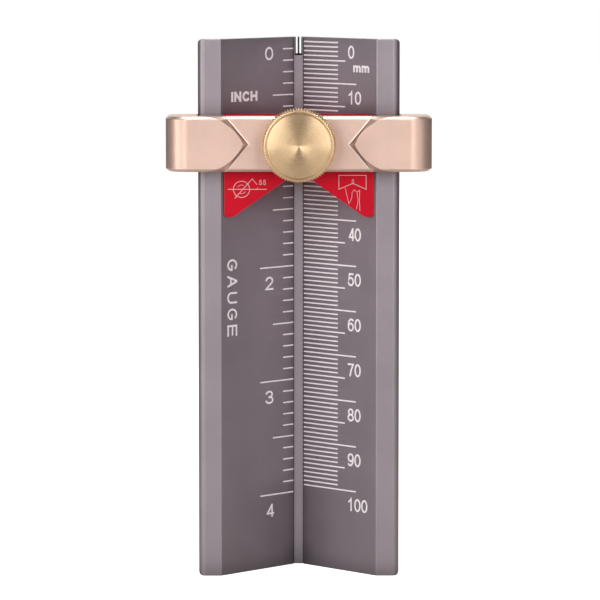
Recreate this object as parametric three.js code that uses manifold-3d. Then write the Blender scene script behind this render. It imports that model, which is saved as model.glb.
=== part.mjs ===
// Marking gauge with a V-shaped rule: a scale channel, and a fence head that slides along it and is
// clamped by a brass knob. Millimetres. X is across the rule, Y runs from the user into the V, and
// Z runs up the rule from its bottom end. Every Y below is counted from the plane of the flange
// fronts. The finished gauge is then moved along Y, so that its origin is in the middle of the wall
// at the bottom of the V.

import * as THREE from 'three';
import { mergeVertices } from 'three/addons/utils/BufferGeometryUtils.js';
import { ConvexGeometry } from 'three/addons/geometries/ConvexGeometry.js';
import Module from 'manifold-3d';

const wasm = await Module();
wasm.setup();

// ---------------------------------------------------------------- driving dimensions

const LENGTH = 118; // of the rule
const HALF_WIDTH = 22; // of the rule, to the flanges' outer edges
const MOUTH_HALF = 17; // half the V's mouth: the arms leave the flanges here at 45 degrees
const FLANGE_THICK = 3.2;
const ARM_THICK = 2.4; // square to the arm
const GROOVE_RADIUS = 1.15; // of the relief groove along the bottom of the V
const APEX_BACK = 18.6; // flat on the back of the V
const FLANGE_EDGE_RADIUS = 1.6;
const FLANGE_BACK_RADIUS = 0.8;
const MOUTH_CHAMFER = 0.25;
const END_CORNER_RADIUS = 0.9;

const NOTCH_HALF = 0.85; // recess at the zero end of the groove
const NOTCH_DEPTH = 3.6;
const NOTCH_WALL = 1; // what the recess leaves of the apex
const FIN_HALF = 0.2; // sight fin between the two slits
const SLIT_OUTER = 0.6;
const SLIT_DEPTH = 3.2;

const HEAD_HEIGHT = 12;
const HEAD_HALF = 28.95;
const HEAD_CENTRE = 95.5; // height of the head's centre line at rest
const HEAD_FRONT = -6.4; // raised end blocks
const RELIEF_DEPTH = 1; // of the lower middle between the two arrow ends
const HEAD_INNER = -0.6; // face of the bar towards the shoe
const HEAD_BACK = 6.5;
const HEAD_FRONT_RADIUS = 5;
const HEAD_BACK_RADIUS = 1.5;
const HEAD_CHAMFER = 0.6;
const LIP_HALF = 17.8; // inner edge of the lips that reach behind the flanges
const LIP_CHAMFER = 1.2;
const OGIVE_START = 21.4; // where each arrow's curve leaves the bar's edge
const OGIVE_TIP = 12.2;
const BEVEL_START = 15.95; // the same two places at the foot of the bevel
const BEVEL_TIP = 10.95;

const SLIDE_GAP = 0.12; // between the rule and what slides on it
const FIT_GAP = 0.03; // between pieces that are pressed or glued together
const RUN_GAP = 0.06; // between pieces that turn or slide on each other
const CLAMP_TRAVEL = 0.7; // one turn of the knob's thread

const SHOE_FRONT = 0.5;
const SHOE_TIP_HALF = 2.5; // half the flat on the shoe's back
const SHOE_EAR_BOTTOM = 78.9;
const SHOE_APEX = 89.3; // top of the shoe's inverted V
const SHOE_TOP = 101.7;
const SHOE_PLATE_BACK = 3; // the shoe is a plate above its step, and fills the V below it
const SHOE_STEP = 99.7;
const SHOE_SLOPE = Math.tan(THREE.MathUtils.degToRad(35));
const EAR_INNER = 13.9; // where the slope ends at the ear
const EAR_ROUND = 1.1;

const SCREW_RADIUS = 2;
const SCREW_TIP_RADIUS = 1.5;
const SCREW_GROOVE_RADIUS = 1.15;
const SCREW_SHOULDER = 0.9;
const SCREW_TIP_END = 6.6;
const SCREW_HEAD_END = -10.8; // inside the knob
const WASHER_RADIUS = 3.6;
const WASHER_THICK = 0.5;
const WASHER_RECESS = 1;
const CLIP_RADIUS = 3;
const CLIP_THICK = 0.5;
const CLIP_FRONT = 4.75;
const CLIP_GAP_ANGLE = THREE.MathUtils.degToRad(35); // half of the clip's opening
const SHOE_WEB_BACK = 4.6; // the wall that washer and clip hold between them
const CLIP_POCKET_RADIUS = 3.7;

const INSERT_RADIUS = 3.2;
const INSERT_FLANGE_RADIUS = 4.2;
const INSERT_FLANGE_THICK = 0.8;

const PIN_RADIUS = 1;
const PIN_OFFSET = 8;
const PIN_FRONT = -3.6;
const PIN_BACK = 5.6;
const PIN_HOLE_SPARE = 0.3; // beyond the pin's end with the clamp fully open

const KNOB_RADIUS = 8;
const KNOB_BACK = -5.9;
const KNOB_FRONT = -12.6;
const KNOB_TEETH = 80;
const KNOB_TOOTH_DEPTH = 0.4;
const KNOB_FACE_RADIUS = 6.9; // inside the ring groove
const KNOB_SHOULDER = -11.4; // where the rim starts to taper to the face
const KNOB_RIM_CHAMFER = 0.35;

const ROUND = 64; // segments of a full turn on the round pieces
const CORNER = 8; // segments of a rounded corner

// ---------------------------------------------------------------- solids

function toSolid(geometry) {
  const bare = new THREE.BufferGeometry();
  bare.setAttribute('position', geometry.getAttribute('position').clone());
  if (geometry.index) bare.setIndex(geometry.index.clone());
  const merged = mergeVertices(bare, 1e-4);
  const index = merged.index.array;
  const triangles = [];
  for (let i = 0; i < index.length; i += 3) {
    const [a, b, c] = [index[i], index[i + 1], index[i + 2]];
    if (a !== b && b !== c && c !== a) triangles.push(a, b, c);
  }
  const vertProperties = merged.getAttribute('position').array;
  const triVerts = new Uint32Array(triangles);
  return new wasm.Manifold(new wasm.Mesh({ numProp: 3, vertProperties, triVerts }));
}

function toGeometry(solid) {
  const mesh = solid.getMesh();
  const geometry = new THREE.BufferGeometry();
  geometry.setAttribute('position', new THREE.BufferAttribute(mesh.vertProperties, 3));
  geometry.setIndex(new THREE.BufferAttribute(mesh.triVerts, 1));
  return geometry;
}

// An outline in X and Y, from height `low` up to `high`.
function planSolid(shape, low, high) {
  const options = { depth: high - low, bevelEnabled: false, curveSegments: CORNER };
  return toSolid(new THREE.ExtrudeGeometry(shape, options).translate(0, 0, low));
}

// An outline in X and Z, from `front` back to `back` along Y.
function frontSolid(shape, front, back) {
  const options = { depth: back - front, bevelEnabled: false, curveSegments: CORNER };
  const geometry = new THREE.ExtrudeGeometry(shape, options);
  return toSolid(geometry.rotateX(Math.PI / 2).translate(0, back, 0));
}

// An outline in Y and Z, as wide as the head along X.
function sideSolid(shape) {
  const options = { depth: 2 * HEAD_HALF, bevelEnabled: false };
  const turn = new THREE.Matrix4().makeBasis(
    new THREE.Vector3(0, 1, 0),
    new THREE.Vector3(0, 0, 1),
    new THREE.Vector3(1, 0, 0),
  );
  const geometry = new THREE.ExtrudeGeometry(shape, options).translate(0, 0, -HEAD_HALF);
  return toSolid(geometry.applyMatrix4(turn));
}

function boxSolid(xLow, xHigh, yLow, yHigh, zLow, zHigh) {
  const geometry = new THREE.BoxGeometry(xHigh - xLow, yHigh - yLow, zHigh - zLow);
  geometry.translate((xLow + xHigh) / 2, (yLow + yHigh) / 2, (zLow + zHigh) / 2);
  return toSolid(geometry);
}

// A round bar along Y on the head's centre line, `across` from the middle.
function rodSolid(radius, front, back, across = 0) {
  const geometry = new THREE.CylinderGeometry(radius, radius, back - front, ROUND);
  return toSolid(geometry.translate(across, (front + back) / 2, HEAD_CENTRE));
}

// [radius, y] pairs turned about the clamp's axis. They run along +Y.
function turnedSolid(pairs) {
  const points = pairs.map(([radius, y]) => new THREE.Vector2(radius, y));
  return toSolid(new THREE.LatheGeometry(points, ROUND).translate(0, 0, HEAD_CENTRE));
}

// ---------------------------------------------------------------- rule

function halfRuleOutline(shape, side) {
  const armBack = MOUTH_HALF + ARM_THICK * Math.SQRT2; // x of the arm's back at y = 0
  const corner = [
    [armBack - APEX_BACK, APEX_BACK],
    [armBack - FLANGE_THICK, FLANGE_THICK],
    [HALF_WIDTH - FLANGE_BACK_RADIUS, FLANGE_THICK],
  ];
  const backRound = [HALF_WIDTH, FLANGE_THICK, HALF_WIDTH, FLANGE_THICK - FLANGE_BACK_RADIUS];
  const frontRound = [HALF_WIDTH, 0, HALF_WIDTH - FLANGE_EDGE_RADIUS, 0];
  const mouth = [
    [MOUTH_HALF + MOUTH_CHAMFER, 0],
    [MOUTH_HALF - MOUTH_CHAMFER * Math.SQRT1_2, MOUTH_CHAMFER * Math.SQRT1_2],
    [GROOVE_RADIUS, MOUTH_HALF - GROOVE_RADIUS],
  ];
  if (side > 0) {
    for (const [x, y] of corner) shape.lineTo(x, y);
    shape.quadraticCurveTo(...backRound);
    shape.lineTo(HALF_WIDTH, FLANGE_EDGE_RADIUS);
    shape.quadraticCurveTo(...frontRound);
    for (const [x, y] of mouth) shape.lineTo(x, y);
  } else {
    for (const [x, y] of mouth.toReversed()) shape.lineTo(-x, y);
    shape.lineTo(FLANGE_EDGE_RADIUS - HALF_WIDTH, 0);
    shape.quadraticCurveTo(-HALF_WIDTH, 0, -HALF_WIDTH, FLANGE_EDGE_RADIUS);
    shape.lineTo(-HALF_WIDTH, FLANGE_THICK - FLANGE_BACK_RADIUS);
    shape.quadraticCurveTo(-HALF_WIDTH, FLANGE_THICK, FLANGE_BACK_RADIUS - HALF_WIDTH, FLANGE_THICK);
    for (const [x, y] of corner.slice(0, 2).toReversed()) shape.lineTo(-x, y);
  }
}

function roundedEnds() {
  const r = END_CORNER_RADIUS;
  const shape = new THREE.Shape();
  shape.absarc(HALF_WIDTH - r, r, r, -Math.PI / 2, 0);
  shape.absarc(HALF_WIDTH - r, LENGTH - r, r, 0, Math.PI / 2);
  shape.absarc(r - HALF_WIDTH, LENGTH - r, r, Math.PI / 2, Math.PI);
  shape.absarc(r - HALF_WIDTH, r, r, Math.PI, Math.PI * 1.5);
  return frontSolid(shape, -1, APEX_BACK + 1);
}

function scaleChannel() {
  const shape = new THREE.Shape();
  shape.moveTo(0, APEX_BACK);
  halfRuleOutline(shape, 1);
  shape.absarc(0, MOUTH_HALF - GROOVE_RADIUS, GROOVE_RADIUS, 0, Math.PI, false);
  halfRuleOutline(shape, -1);
  const recessBack = APEX_BACK - NOTCH_WALL;
  const top = LENGTH + 1;
  const notch = boxSolid(-NOTCH_HALF, NOTCH_HALF, MOUTH_HALF / 2, recessBack, LENGTH - NOTCH_DEPTH, top);
  const slitBack = APEX_BACK + 1;
  const slitBottom = LENGTH - SLIT_DEPTH;
  const slitRight = boxSolid(FIN_HALF, SLIT_OUTER, recessBack - 1, slitBack, slitBottom, top);
  const slitLeft = boxSolid(-SLIT_OUTER, -FIN_HALF, recessBack - 1, slitBack, slitBottom, top);
  return planSolid(shape, 0, LENGTH)
    .intersect(roundedEnds())
    .subtract(notch)
    .subtract(slitRight)
    .subtract(slitLeft);
}

// ---------------------------------------------------------------- head

const HEAD_LOW = HEAD_CENTRE - HEAD_HEIGHT / 2;
const HEAD_HIGH = HEAD_CENTRE + HEAD_HEIGHT / 2;
const FLOOR = HEAD_FRONT + RELIEF_DEPTH; // front of the lower middle

// Bar, and the hook at each end that reaches round a flange.
function headPlan() {
  const slotHalf = HALF_WIDTH + SLIDE_GAP;
  const lipFront = FLANGE_THICK + SLIDE_GAP;
  const r = HEAD_FRONT_RADIUS;
  const b = HEAD_BACK_RADIUS;
  const shape = new THREE.Shape();
  shape.moveTo(-OGIVE_START, FLOOR);
  shape.lineTo(OGIVE_START, FLOOR);
  shape.lineTo(OGIVE_START, HEAD_FRONT);
  shape.absarc(HEAD_HALF - r, HEAD_FRONT + r, r, -Math.PI / 2, 0);
  shape.absarc(HEAD_HALF - b, HEAD_BACK - b, b, 0, Math.PI / 2);
  shape.lineTo(LIP_HALF + LIP_CHAMFER, HEAD_BACK);
  shape.lineTo(LIP_HALF, HEAD_BACK - LIP_CHAMFER);
  shape.lineTo(LIP_HALF, lipFront);
  shape.lineTo(slotHalf, lipFront);
  shape.lineTo(slotHalf, HEAD_INNER);
  shape.lineTo(-slotHalf, HEAD_INNER);
  shape.lineTo(-slotHalf, lipFront);
  shape.lineTo(-LIP_HALF, lipFront);
  shape.lineTo(-LIP_HALF, HEAD_BACK - LIP_CHAMFER);
  shape.lineTo(-LIP_HALF - LIP_CHAMFER, HEAD_BACK);
  shape.absarc(b - HEAD_HALF, HEAD_BACK - b, b, Math.PI / 2, Math.PI);
  shape.absarc(r - HEAD_HALF, HEAD_FRONT + r, r, Math.PI, Math.PI * 1.5);
  shape.lineTo(-OGIVE_START, HEAD_FRONT);
  return shape;
}

// One raised arrow: a pointed arch on the outer level, down to a plain V on the floor level.
function arrowSolid(side) {
  const half = HEAD_HEIGHT / 2;
  const run = OGIVE_START - OGIVE_TIP;
  const radius = (run * run + half * half) / (2 * half);
  const sweep = Math.asin(run / radius);
  const root = OGIVE_START + 1;
  const points = [];
  for (const up of [1, -1]) {
    for (let i = 0; i <= CORNER; i += 1) {
      const angle = (sweep * i) / CORNER;
      const x = OGIVE_START - radius * Math.sin(angle);
      const z = up * (half - radius + radius * Math.cos(angle));
      points.push(new THREE.Vector3(side * x, HEAD_FRONT, HEAD_CENTRE + z));
    }
    for (const y of [HEAD_FRONT, FLOOR + 1]) {
      points.push(new THREE.Vector3(side * root, y, HEAD_CENTRE + up * half));
    }
    for (const y of [FLOOR, FLOOR + 1]) {
      points.push(new THREE.Vector3(side * BEVEL_START, y, HEAD_CENTRE + up * half));
    }
  }
  for (const y of [FLOOR, FLOOR + 1]) {
    points.push(new THREE.Vector3(side * BEVEL_TIP, y, HEAD_CENTRE));
  }
  return toSolid(new ConvexGeometry(points));
}

// Everything behind a front that is chamfered along its top and bottom edges.
function chamferedFront(front) {
  const shape = new THREE.Shape();
  shape.moveTo(front, HEAD_LOW + HEAD_CHAMFER);
  shape.lineTo(front + HEAD_CHAMFER, HEAD_LOW);
  shape.lineTo(HEAD_BACK, HEAD_LOW);
  shape.lineTo(HEAD_BACK, HEAD_HIGH);
  shape.lineTo(front + HEAD_CHAMFER, HEAD_HIGH);
  shape.lineTo(front, HEAD_HIGH - HEAD_CHAMFER);
  return sideSolid(shape);
}

function fenceHead() {
  const insertBore = rodSolid(INSERT_RADIUS + FIT_GAP, HEAD_FRONT - 1, 0);
  const insertSeat = rodSolid(
    INSERT_FLANGE_RADIUS + FIT_GAP,
    HEAD_INNER - INSERT_FLANGE_THICK - FIT_GAP,
    0,
  );
  const middle = boxSolid(-BEVEL_TIP, BEVEL_TIP, HEAD_FRONT, HEAD_BACK, HEAD_LOW, HEAD_HIGH);
  let head = planSolid(headPlan(), HEAD_LOW, HEAD_HIGH)
    .add(arrowSolid(1))
    .add(arrowSolid(-1))
    .intersect(chamferedFront(HEAD_FRONT))
    .subtract(middle.subtract(chamferedFront(FLOOR)))
    .subtract(insertBore)
    .subtract(insertSeat);
  for (const side of [-1, 1]) {
    const pinHole = rodSolid(PIN_RADIUS + FIT_GAP, PIN_FRONT - FIT_GAP, 0, side * PIN_OFFSET);
    head = head.subtract(pinHole);
  }
  return head;
}

function threadInsert() {
  const flangeFront = HEAD_INNER - INSERT_FLANGE_THICK;
  return turnedSolid([
    [SCREW_RADIUS + RUN_GAP, FLOOR],
    [INSERT_RADIUS, FLOOR],
    [INSERT_RADIUS, flangeFront],
    [INSERT_FLANGE_RADIUS, flangeFront],
    [INSERT_FLANGE_RADIUS, HEAD_INNER],
    [SCREW_RADIUS + RUN_GAP, HEAD_INNER],
    [SCREW_RADIUS + RUN_GAP, FLOOR],
  ]);
}

function guidePin(side) {
  return rodSolid(PIN_RADIUS, PIN_FRONT, PIN_BACK, side * PIN_OFFSET);
}

// ---------------------------------------------------------------- shoe

function shoePlan() {
  const half = MOUTH_HALF - SHOE_FRONT - SLIDE_GAP * Math.SQRT2;
  const back = SHOE_FRONT + half - SHOE_TIP_HALF;
  const shape = new THREE.Shape();
  shape.moveTo(-half, SHOE_FRONT);
  shape.lineTo(half, SHOE_FRONT);
  shape.lineTo(SHOE_TIP_HALF, back);
  shape.lineTo(-SHOE_TIP_HALF, back);
  return shape;
}

// Front outline: an inverted V between two round-ended ears.
function shoeOutline() {
  const half = MOUTH_HALF - SHOE_FRONT - SLIDE_GAP * Math.SQRT2;
  const low = SHOE_EAR_BOTTOM;
  const slopeEnd = SHOE_APEX - EAR_INNER * SHOE_SLOPE;
  const innerFoot = EAR_INNER + (slopeEnd - low) / SHOE_SLOPE;
  const shape = new THREE.Shape();
  shape.moveTo(0, SHOE_APEX);
  shape.lineTo(EAR_INNER, slopeEnd);
  shape.quadraticCurveTo(innerFoot, low, half - EAR_ROUND, low);
  shape.quadraticCurveTo(half, low, half, low + EAR_ROUND);
  shape.lineTo(half, SHOE_TOP);
  shape.lineTo(-half, SHOE_TOP);
  shape.lineTo(-half, low + EAR_ROUND);
  shape.quadraticCurveTo(-half, low, EAR_ROUND - half, low);
  shape.quadraticCurveTo(-innerFoot, low, -EAR_INNER, slopeEnd);
  return shape;
}

function vShoe() {
  const pinHoleBack = PIN_BACK + CLAMP_TRAVEL + PIN_HOLE_SPARE;
  let shoe = planSolid(shoePlan(), SHOE_EAR_BOTTOM - 1, SHOE_TOP + 1)
    .intersect(frontSolid(shoeOutline(), 0, APEX_BACK))
    .subtract(rodSolid(WASHER_RADIUS + FIT_GAP, 0, SHOE_FRONT + WASHER_RECESS))
    .subtract(rodSolid(SCREW_TIP_RADIUS + RUN_GAP, 0, SHOE_WEB_BACK + 1))
    .subtract(rodSolid(CLIP_POCKET_RADIUS, SHOE_WEB_BACK, APEX_BACK));
  shoe = shoe.subtract(
    boxSolid(-MOUTH_HALF, MOUTH_HALF, SHOE_PLATE_BACK, APEX_BACK, SHOE_STEP, SHOE_TOP + 1),
  );
  for (const side of [-1, 1]) {
    const pinHole = rodSolid(PIN_RADIUS + RUN_GAP, 0, pinHoleBack, side * PIN_OFFSET);
    shoe = shoe.subtract(pinHole);
  }
  return shoe;
}

function thrustWasher() {
  const front = SHOE_FRONT + WASHER_RECESS - WASHER_THICK - FIT_GAP;
  const back = front + WASHER_THICK;
  return turnedSolid([
    [SCREW_TIP_RADIUS + RUN_GAP, front],
    [WASHER_RADIUS, front],
    [WASHER_RADIUS, back],
    [SCREW_TIP_RADIUS + RUN_GAP, back],
    [SCREW_TIP_RADIUS + RUN_GAP, front],
  ]);
}

// ---------------------------------------------------------------- screw and knob

function clampScrew() {
  const tipChamfer = 0.3;
  return turnedSolid([
    [0, SCREW_HEAD_END],
    [SCREW_RADIUS, SCREW_HEAD_END],
    [SCREW_RADIUS, SCREW_SHOULDER],
    [SCREW_TIP_RADIUS, SCREW_SHOULDER],
    [SCREW_TIP_RADIUS, CLIP_FRONT - FIT_GAP],
    [SCREW_GROOVE_RADIUS, CLIP_FRONT - FIT_GAP],
    [SCREW_GROOVE_RADIUS, CLIP_FRONT + CLIP_THICK + FIT_GAP],
    [SCREW_TIP_RADIUS, CLIP_FRONT + CLIP_THICK + FIT_GAP],
    [SCREW_TIP_RADIUS, SCREW_TIP_END - tipChamfer],
    [SCREW_TIP_RADIUS - tipChamfer, SCREW_TIP_END],
    [0, SCREW_TIP_END],
  ]);
}

// An open ring in the screw's groove, its opening downwards.
function retainingClip() {
  const start = -Math.PI / 2 + CLIP_GAP_ANGLE;
  const end = (3 * Math.PI) / 2 - CLIP_GAP_ANGLE;
  const shape = new THREE.Shape();
  shape.absarc(0, 0, CLIP_RADIUS, start, end, false);
  shape.absarc(0, 0, SCREW_GROOVE_RADIUS + FIT_GAP, end, start, true);
  const options = { depth: CLIP_THICK, bevelEnabled: false, curveSegments: ROUND / 2 };
  const geometry = new THREE.ExtrudeGeometry(shape, options).rotateX(Math.PI / 2);
  return toSolid(geometry.translate(0, CLIP_FRONT + CLIP_THICK, HEAD_CENTRE));
}

function knobTeeth() {
  const shape = new THREE.Shape();
  for (let i = 0; i < 2 * KNOB_TEETH; i += 1) {
    const angle = (Math.PI * i) / KNOB_TEETH;
    const radius = KNOB_RADIUS - (i % 2) * KNOB_TOOTH_DEPTH;
    const x = radius * Math.cos(angle);
    const z = HEAD_CENTRE + radius * Math.sin(angle);
    if (i === 0) shape.moveTo(x, z);
    else shape.lineTo(x, z);
  }
  return frontSolid(shape, KNOB_FRONT - 1, KNOB_BACK + 1);
}

// Turned profile: tapered rim, a ring groove round the face, and a face that is slightly domed.
function knob() {
  const grooveRadius = KNOB_FACE_RADIUS + 0.3; // its outer side
  const grooveDepth = 0.4;
  const faceEdge = KNOB_FRONT + 0.15;
  const boreRadius = SCREW_RADIUS + FIT_GAP;
  const body = turnedSolid([
    [0, KNOB_FRONT],
    [KNOB_FACE_RADIUS, faceEdge],
    [KNOB_FACE_RADIUS, faceEdge + grooveDepth],
    [grooveRadius, faceEdge + grooveDepth],
    [grooveRadius, faceEdge],
    [KNOB_RADIUS, KNOB_SHOULDER],
    [KNOB_RADIUS, KNOB_BACK - KNOB_RIM_CHAMFER],
    [KNOB_RADIUS - KNOB_RIM_CHAMFER, KNOB_BACK],
    [boreRadius, KNOB_BACK],
    [boreRadius, SCREW_HEAD_END - FIT_GAP],
    [0, SCREW_HEAD_END - FIT_GAP],
  ]);
  return body.intersect(knobTeeth());
}

// ---------------------------------------------------------------- assembly

const FINISHES = {
  grey: { color: 0x7f767d, roughness: 0.45, metalness: 0.7 },
  rose: { color: 0xdab8a6, roughness: 0.4, metalness: 0.8 },
  red: { color: 0xc3182c, roughness: 0.4, metalness: 0.4 },
  brass: { color: 0xd8b878, roughness: 0.25, metalness: 1 },
  steel: { color: 0xb8babd, roughness: 0.3, metalness: 1 },
  polymer: { color: 0xe6e2da, roughness: 0.6, metalness: 0 },
};

function piece(name, finish, solid) {
  const material = new THREE.MeshStandardMaterial(FINISHES[finish]);
  const mesh = new THREE.Mesh(toGeometry(solid), material);
  mesh.name = name;
  return mesh;
}

const clampGroup = new THREE.Group().add(
  piece('knob', 'brass', knob()),
  piece('clamp_screw', 'steel', clampScrew()),
  piece('retaining_clip', 'steel', retainingClip()),
);

const shoeGroup = new THREE.Group().add(
  piece('v_shoe', 'red', vShoe()),
  piece('thrust_washer', 'polymer', thrustWasher()),
  clampGroup,
);

const headGroup = new THREE.Group().add(
  piece('fence_head', 'rose', fenceHead()),
  piece('thread_insert', 'brass', threadInsert()),
  piece('guide_pin_left', 'steel', guidePin(-1)),
  piece('guide_pin_right', 'steel', guidePin(1)),
  shoeGroup,
);

const gauge = new THREE.Group().add(piece('scale_channel', 'grey', scaleChannel()), headGroup);
gauge.position.y = -(MOUTH_HALF + APEX_BACK) / 2;

export default gauge;
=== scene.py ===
import math

import bmesh
import bpy
from mathutils import Matrix, Vector


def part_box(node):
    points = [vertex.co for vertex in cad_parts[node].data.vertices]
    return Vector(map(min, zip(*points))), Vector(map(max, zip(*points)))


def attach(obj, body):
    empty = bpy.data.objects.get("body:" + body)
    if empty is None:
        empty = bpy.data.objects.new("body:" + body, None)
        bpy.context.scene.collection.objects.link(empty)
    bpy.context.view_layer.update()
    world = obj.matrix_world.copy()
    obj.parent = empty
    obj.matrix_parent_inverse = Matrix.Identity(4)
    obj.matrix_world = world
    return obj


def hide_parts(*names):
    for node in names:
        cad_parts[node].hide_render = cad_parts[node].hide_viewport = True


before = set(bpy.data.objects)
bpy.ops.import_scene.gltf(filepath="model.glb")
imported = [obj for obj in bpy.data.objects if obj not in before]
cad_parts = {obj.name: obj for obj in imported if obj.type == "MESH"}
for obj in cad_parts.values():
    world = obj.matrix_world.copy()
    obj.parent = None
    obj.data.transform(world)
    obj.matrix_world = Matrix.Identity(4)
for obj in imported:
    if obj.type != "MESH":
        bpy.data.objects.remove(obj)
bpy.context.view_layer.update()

# Marking gauge: a V-section rule with scales, and a head that slides on it and is clamped by a knob.
# The shapes below are written in millimetres. X is across the rule, Y is counted from the plane of the
# flange fronts into the V, and Z runs up from the rule's bottom end. place() turns them into metres.

MM = 0.001
FLANGE_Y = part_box("scale_channel")[0].y


def mm_box(node):
    """Lower and upper corner of a node's box in the millimetres of this script."""
    low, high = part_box(node)
    shift = Vector((0, FLANGE_Y, 0))
    return (low - shift) / MM, (high - shift) / MM


# ------------------------------------------------------------ sizes, millimetres

RULE_HIGH = mm_box("scale_channel")[1]
LENGTH = RULE_HIGH.z
HALF_WIDTH = RULE_HIGH.x
APEX_BACK = RULE_HIGH.y
MOUTH_HALF = 17.0
FLANGE_THICK = 3.2
ARM_THICK = 2.4
GROOVE_HALF = 1.15
END_CORNER = 0.9
RULE_EDGE = 0.12
NOTCH_HALF, NOTCH_DEPTH = 0.9, 4.1
NOTCH_WALL = 1.0  # left behind the notch
FIN_HALF, SLIT_HALF, SLIT_DEPTH = 0.2, 0.6, 3.7

HEAD_LOW, HEAD_HIGH = mm_box("fence_head")
HEAD_HALF = HEAD_HIGH.x
HEAD_FRONT = HEAD_LOW.y
HEAD_BACK = HEAD_HIGH.y
HEAD_CENTRE = (HEAD_LOW.z + HEAD_HIGH.z) / 2
HEAD_RISE = HEAD_HIGH.z - HEAD_CENTRE
HEAD_INNER = -0.6  # the bar's face towards the shoe
HEAD_FRONT_ROUND = 5.0
HEAD_CHAMFER = ((0, 0.62), (0.05, 0.52), (0.52, 0.05), (0.62, 0))  # (height from the rim, inset)
RELIEF = 1.0  # of the bar's middle behind its end blocks
FLOOR = HEAD_FRONT + RELIEF
SLIDE_GAP = 0.12
LIP_HALF = 17.8  # inner edge of the lips behind the flanges
OGIVE_START, OGIVE_TIP = 21.4, 12.2
OGIVE_RUN = OGIVE_START - OGIVE_TIP
OGIVE_RADIUS = (OGIVE_RUN**2 + HEAD_RISE**2) / (2 * HEAD_RISE)
BEVEL_START, BEVEL_TIP = 15.95, 10.95
BEAD_RISE = 0.14  # of the bead along the bevel's foot
BEAD_WIDTH, BEAD_FLAT = 0.45, 0.08
BEVEL_SINK, BEVEL_GAP = 0.06, 0.22  # how deep the bevel ends behind the bead, and how far from it

SHOE_LOW, SHOE_HIGH = mm_box("v_shoe")
SHOE_HALF = SHOE_HIGH.x
SHOE_FRONT = SHOE_LOW.y
SHOE_BACK = SHOE_HIGH.y
SHOE_TIP_HALF = 2.5
SHOE_PLATE_BACK = 3.0
SHOE_STEP = 99.7
SHOE_APEX = 89.3
SHOE_SLOPE = math.tan(math.radians(35))
SHOE_WEB_BACK = 4.6  # back of the wall between washer and clip
EAR_INNER = 13.9

KNOB_LOW, KNOB_HIGH = mm_box("knob")
KNOB_RADIUS = KNOB_HIGH.x
KNOB_FRONT = KNOB_LOW.y
KNOB_BACK = KNOB_HIGH.y
KNOB_TEETH = 80
KNOB_TOOTH_DEPTH = 0.4
KNOB_FACE_RADIUS = 6.9
KNOB_GROOVE = 0.3
KNOB_ROUND = 0.7

FIT_GAP = 0.03
RUN_GAP = 0.06
SCREW_LOW, SCREW_HIGH = mm_box("clamp_screw")
SCREW_RADIUS = SCREW_HIGH.x
SCREW_TIP_RADIUS = 1.5
SCREW_GROOVE_RADIUS = 1.15
SCREW_SHOULDER = 0.9
THREAD_PITCH = 0.7
THREAD_DEPTH = 0.32
THREAD_STEP = 0.09  # between the levels that a thread is drawn in
INSERT_LOW, INSERT_HIGH = mm_box("thread_insert")
INSERT_RADIUS = 3.2
INSERT_FLANGE = 0.8
WASHER_LOW, WASHER_HIGH = mm_box("thrust_washer")
WASHER_RECESS = 1.0
CLIP_LOW, CLIP_HIGH = mm_box("retaining_clip")
CLIP_POCKET = 3.7
PIN_LOW, PIN_HIGH = mm_box("guide_pin_right")
PIN_RADIUS = (PIN_HIGH.x - PIN_LOW.x) / 2
PIN_OFFSET = (PIN_HIGH.x + PIN_LOW.x) / 2
PIN_HOLE_BACK = 6.6

FILM = 0.03  # thickness of the marks
FILM_LIFT = 0.004  # between strokes that cross
ARM_AXIS = math.sqrt(0.5)

# ------------------------------------------------------------ mesh helpers


def place(points):
    """Millimetre points as metre points of the frame."""
    return [Vector((x * MM, y * MM + FLANGE_Y, z * MM)) for x, y, z in points]


def add_object(name, mesh, material=None):
    obj = bpy.data.objects.new(name, mesh)
    bpy.context.scene.collection.objects.link(obj)
    if material:
        mesh.materials.clear()
        mesh.materials.append(material)
    return obj


def finish(obj, body, slot, *nodes):
    """Hands a piece over to the frame: the body it rides on and the nodes it stands for; `slot`, its
    finish, is not used.
    """
    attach(obj, body)
    if nodes:
        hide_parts(*nodes)


def mesh_from(name, points, faces):
    """A closed mesh from millimetre points, its faces turned outwards."""
    mesh = bpy.data.meshes.new(name)
    mesh.from_pydata(place(points), [], faces)
    work = bmesh.new()
    work.from_mesh(mesh)
    bmesh.ops.recalc_face_normals(work, faces=work.faces)
    work.to_mesh(mesh)
    work.free()
    return mesh


def loft(name, rings):
    """Rings of equal length joined side by side, with a cap on each end."""
    count = len(rings[0])
    last = (len(rings) - 1) * count
    points = [point for ring in rings for point in ring]
    faces = [tuple(range(count)), tuple(range(last, last + count))]
    for low in range(0, last, count):
        for i in range(count):
            j = (i + 1) % count
            faces.append((low + i, low + j, low + count + j, low + count + i))
    return mesh_from(name, points, faces)


def rounded(corners, segments=8):
    """Closed outline through (a, b, radius) corners, each corner an arc of its radius."""
    outline = []
    count = len(corners)
    for i, (a, b, radius) in enumerate(corners):
        here = Vector((a, b))
        if radius == 0:
            outline.append(here)
            continue
        before = (Vector(corners[i - 1][:2]) - here).normalized()
        after = (Vector(corners[(i + 1) % count][:2]) - here).normalized()
        half = before.angle(after) / 2
        middle = here + (before + after).normalized() * (radius / math.sin(half))
        start = here + before * (radius / math.tan(half)) - middle
        sweep = start.angle_signed(here + after * (radius / math.tan(half)) - middle)
        for step in range(segments + 1):
            turn = -sweep * step / segments
            outline.append(middle + Matrix.Rotation(turn, 2) @ start)
    return outline


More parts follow.
